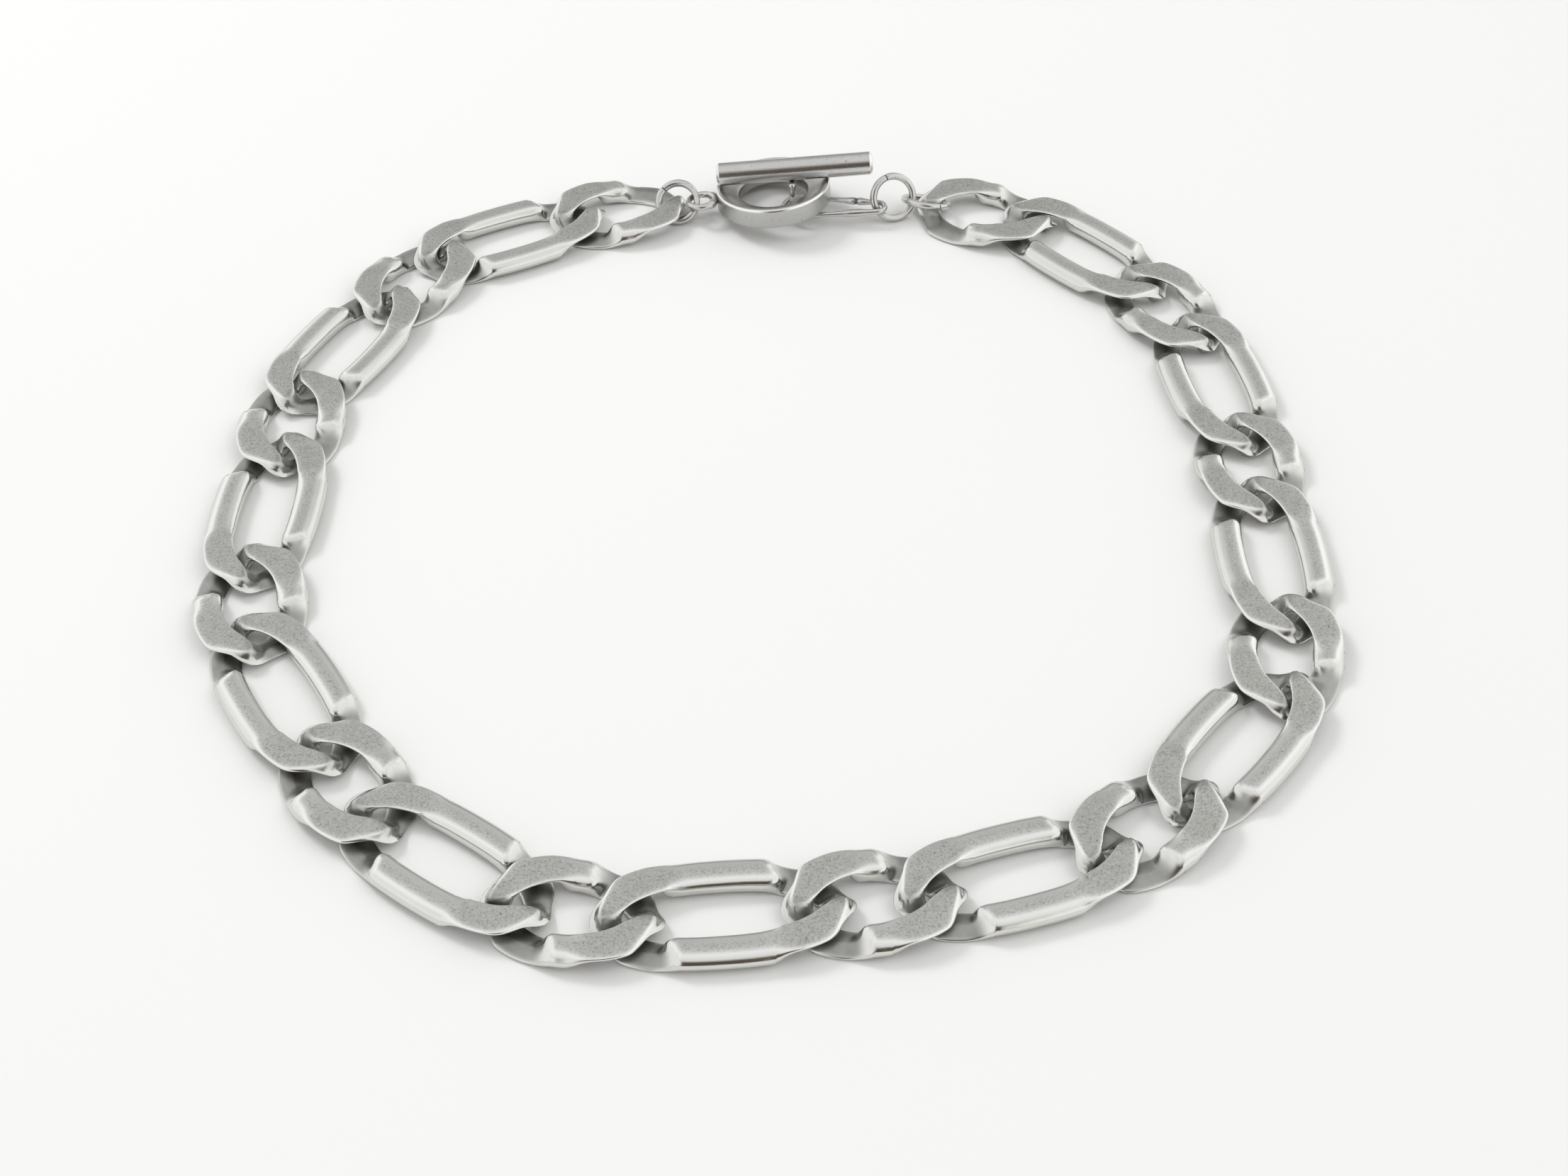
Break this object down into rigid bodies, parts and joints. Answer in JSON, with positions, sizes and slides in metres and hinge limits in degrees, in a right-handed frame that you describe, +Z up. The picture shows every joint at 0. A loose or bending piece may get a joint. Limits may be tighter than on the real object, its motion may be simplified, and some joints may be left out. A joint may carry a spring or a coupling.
{
  "type": "chain necklace",
  "caption": "Silver necklace chain of sculpted oval links, long and short in turn, that interlock face to face, closed at the back by a ring-and-bar toggle clasp.",
  "frame": {"origin": "middle of the footprint, on the surface the necklace lies on", "axes": "+Z up out of the face of the links, clasp at +Y, front link at -Y, +X to the right when it is seen from above with the clasp at the top"},
  "size_m": [0.1489, 0.1513, 0.0096],
  "materials": {
    "silver_oxidised": "oxidised silver, satin flats and polished edges",
    "silver_polished": "polished silver"
  },
  "bodies": {
    "short_link_01": {"short_link_01": "silver_oxidised"},
    "long_link_01": {"long_link_01": "silver_oxidised"},
    "short_link_02": {"short_link_02": "silver_oxidised"},
    "long_link_02": {"long_link_02": "silver_oxidised"},
    "short_link_03": {"short_link_03": "silver_oxidised"},
    "long_link_03": {"long_link_03": "silver_oxidised"},
    "short_link_04": {"short_link_04": "silver_oxidised"},
    "long_link_04": {"long_link_04": "silver_oxidised"},
    "short_link_05": {"short_link_05": "silver_oxidised"},
    "long_link_05": {"long_link_05": "silver_oxidised"},
    "short_link_06": {"short_link_06": "silver_oxidised"},
    "long_link_06": {"long_link_06": "silver_oxidised"},
    "short_link_07": {"short_link_07": "silver_oxidised"},
    "long_link_07": {"long_link_07": "silver_oxidised"},
    "short_link_08": {"short_link_08": "silver_oxidised"},
    "long_link_08": {"long_link_08": "silver_oxidised"},
    "short_link_09": {"short_link_09": "silver_oxidised"},
    "long_link_09": {"long_link_09": "silver_oxidised"},
    "short_link_10": {"short_link_10": "silver_oxidised"},
    "long_link_10": {"long_link_10": "silver_oxidised"},
    "short_link_11": {"short_link_11": "silver_oxidised"},
    "long_link_11": {"long_link_11": "silver_oxidised"},
    "short_link_12": {"short_link_12": "silver_oxidised"},
    "jump_ring_left": {"jump_ring_left": "silver_polished"},
    "toggle_ring": {"toggle_ring": "silver_polished", "toggle_ring_eye": "silver_polished"},
    "jump_ring_right": {"jump_ring_right": "silver_polished"},
    "round_ring": {"round_ring": "silver_polished"},
    "connector_link": {"connector_link": "silver_polished"},
    "toggle_bar": {"toggle_bar": "silver_polished", "toggle_bar_eye": "silver_polished"}
  },
  "joints": [
    {"name": "fold_left_01", "type": "hinge", "parent": "long_link_06", "child": "short_link_06", "pos_m": [-0.01539, -0.06879, 0.00135], "axis": [0.9969, 0.0785, 0], "range_deg": [-9, 9]},
    {"name": "fold_right_01", "type": "hinge", "parent": "long_link_06", "child": "short_link_07", "pos_m": [0.00655, -0.06706, 0.00135], "axis": [0.9969, 0.0785, 0], "range_deg": [-9, 9]},
    {"name": "fold_left_02", "type": "hinge", "parent": "short_link_06", "child": "long_link_05", "pos_m": [-0.02821, -0.06664, 0.00135], "axis": [0.9998, 0.0221, 0], "range_deg": [-9, 7]},
    {"name": "fold_right_02", "type": "hinge", "parent": "short_link_07", "child": "long_link_07", "pos_m": [0.01946, -0.06559, 0.00135], "axis": [0.9998, 0.0221, 0], "range_deg": [-9, 7]},
    {"name": "fold_left_03", "type": "hinge", "parent": "long_link_05", "child": "short_link_05", "pos_m": [-0.04612, -0.05387, 0.00135], "axis": [0.998, -0.063, 0], "range_deg": [-10, 11]},
    {"name": "fold_right_03", "type": "hinge", "parent": "long_link_07", "child": "short_link_08", "pos_m": [0.04056, -0.05934, 0.00135], "axis": [0.998, -0.063, 0], "range_deg": [-10, 11]},
    {"name": "fold_left_04", "type": "hinge", "parent": "short_link_05", "child": "long_link_04", "pos_m": [-0.05385, -0.04342, 0.00135], "axis": [0.9971, -0.0763, 0], "range_deg": [-11, 13]},
    {"name": "fold_right_04", "type": "hinge", "parent": "short_link_08", "child": "long_link_08", "pos_m": [0.05087, -0.05143, 0.00135], "axis": [0.9971, -0.0763, 0], "range_deg": [-11, 13]},
    {"name": "fold_left_05", "type": "hinge", "parent": "long_link_04", "child": "short_link_04", "pos_m": [-0.06535, -0.02466, 0.00135], "axis": [0.9972, -0.075, 0], "range_deg": [-9, 14]},
    {"name": "fold_right_05", "type": "hinge", "parent": "long_link_08", "child": "short_link_09", "pos_m": [0.06486, -0.03445, 0.00135], "axis": [0.9972, -0.075, 0], "range_deg": [-9, 14]},
    {"name": "fold_left_06", "type": "hinge", "parent": "short_link_04", "child": "long_link_03", "pos_m": [-0.06749, -0.01184, 0.00135], "axis": [0.9973, -0.0728, 0], "range_deg": [-14, 14]},
    {"name": "fold_right_06", "type": "hinge", "parent": "short_link_09", "child": "long_link_09", "pos_m": [0.06723, -0.02167, 0.00135], "axis": [0.9973, -0.0728, 0], "range_deg": [-14, 14]},
    {"name": "fold_left_07", "type": "hinge", "parent": "long_link_03", "child": "short_link_03", "pos_m": [-0.06615, 0.01012, 0.00135], "axis": [0.9973, -0.0736, 0], "range_deg": [-14, 14]},
    {"name": "fold_right_07", "type": "hinge", "parent": "long_link_09", "child": "short_link_10", "pos_m": [0.06666, 0.00032, 0.00135], "axis": [0.9973, -0.0736, 0], "range_deg": [-14, 14]},
    {"name": "fold_left_08", "type": "hinge", "parent": "short_link_03", "child": "long_link_02", "pos_m": [-0.06558, 0.02311, 0.00135], "axis": [0.9972, -0.0742, 0], "range_deg": [-13, 14]},
    {"name": "fold_right_08", "type": "hinge", "parent": "short_link_10", "child": "long_link_10", "pos_m": [0.06609, 0.01331, 0.00135], "axis": [0.9972, -0.0742, 0], "range_deg": [-13, 14]},
    {"name": "fold_left_09", "type": "hinge", "parent": "long_link_02", "child": "short_link_02", "pos_m": [-0.05542, 0.04263, 0.00135], "axis": [0.9979, -0.0652, 0], "range_deg": [-14, 14]},
    {"name": "fold_right_09", "type": "hinge", "parent": "long_link_10", "child": "short_link_11", "pos_m": [0.06208, 0.03494, 0.00135], "axis": [0.9979, -0.0652, 0], "range_deg": [-14, 14]},
    {"name": "fold_left_10", "type": "hinge", "parent": "short_link_02", "child": "long_link_01", "pos_m": [-0.04844, 0.05359, 0.00135], "axis": [0.9975, -0.0702, 0], "range_deg": [-7, 13]},
    {"name": "fold_right_10", "type": "hinge", "parent": "short_link_11", "child": "long_link_11", "pos_m": [0.05568, 0.04626, 0.00135], "axis": [0.9975, -0.0702, 0], "range_deg": [-7, 13]},
    {"name": "fold_left_11", "type": "hinge", "parent": "long_link_01", "child": "short_link_01", "pos_m": [-0.02858, 0.06306, 0.00135], "axis": [0.9999, -0.0161, 0], "range_deg": [-9, 7]},
    {"name": "fold_right_11", "type": "hinge", "parent": "long_link_11", "child": "short_link_12", "pos_m": [0.04026, 0.06195, 0.00135], "axis": [0.9999, -0.0161, 0], "range_deg": [-9, 7]},
    {"name": "swing_left_jump_ring", "type": "hinge", "parent": "short_link_01", "child": "jump_ring_left", "pos_m": [-0.01594, 0.0661, 0.00135], "axis": [0.9998, -0.0204, 0], "range_deg": [-7, 3]},
    {"name": "swing_right_jump_ring", "type": "hinge", "parent": "short_link_12", "child": "jump_ring_right", "pos_m": [0.02767, 0.0652, 0.00135], "axis": [0.9998, -0.0204, 0], "range_deg": [-7, 3]},
    {"name": "swing_left_clasp", "type": "hinge", "parent": "jump_ring_left", "child": "toggle_ring", "pos_m": [-0.01594, 0.0661, 0.00135], "axis": [0.9998, -0.0204, 0], "range_deg": [-20, 6]},
    {"name": "swing_right_clasp", "type": "hinge", "parent": "jump_ring_right", "child": "round_ring", "pos_m": [0.02767, 0.0652, 0.00135], "axis": [0.9998, -0.0204, 0], "range_deg": [-20, 6]},
    {"name": "connector_rock", "type": "hinge", "parent": "round_ring", "child": "connector_link", "pos_m": [0.00551, 0.06544, 0.00167], "axis": [0.9927, -0.1061, 0.0576], "range_deg": [-4, 3]},
    {"name": "bar_swivel", "type": "hinge", "parent": "round_ring", "child": "toggle_bar", "pos_m": [0.0042, 0.06793, 0.0028], "axis": [-0.0862, 0.1478, 0.9853], "range_deg": [-12, 30]}
  ],
  "couplings": [
    {"joint": "fold_right_01", "follows": "fold_left_01", "ratio": 1},
    {"joint": "fold_right_02", "follows": "fold_left_02", "ratio": 1},
    {"joint": "fold_right_03", "follows": "fold_left_03", "ratio": 1},
    {"joint": "fold_right_04", "follows": "fold_left_04", "ratio": 1},
    {"joint": "fold_right_05", "follows": "fold_left_05", "ratio": 1},
    {"joint": "fold_right_06", "follows": "fold_left_06", "ratio": 1},
    {"joint": "fold_right_07", "follows": "fold_left_07", "ratio": 1},
    {"joint": "fold_right_08", "follows": "fold_left_08", "ratio": 1},
    {"joint": "fold_right_09", "follows": "fold_left_09", "ratio": 1},
    {"joint": "fold_right_10", "follows": "fold_left_10", "ratio": 1},
    {"joint": "fold_right_11", "follows": "fold_left_11", "ratio": 1},
    {"joint": "swing_right_jump_ring", "follows": "swing_left_jump_ring", "ratio": 1},
    {"joint": "swing_right_clasp", "follows": "swing_left_clasp", "ratio": 1}
  ]
}
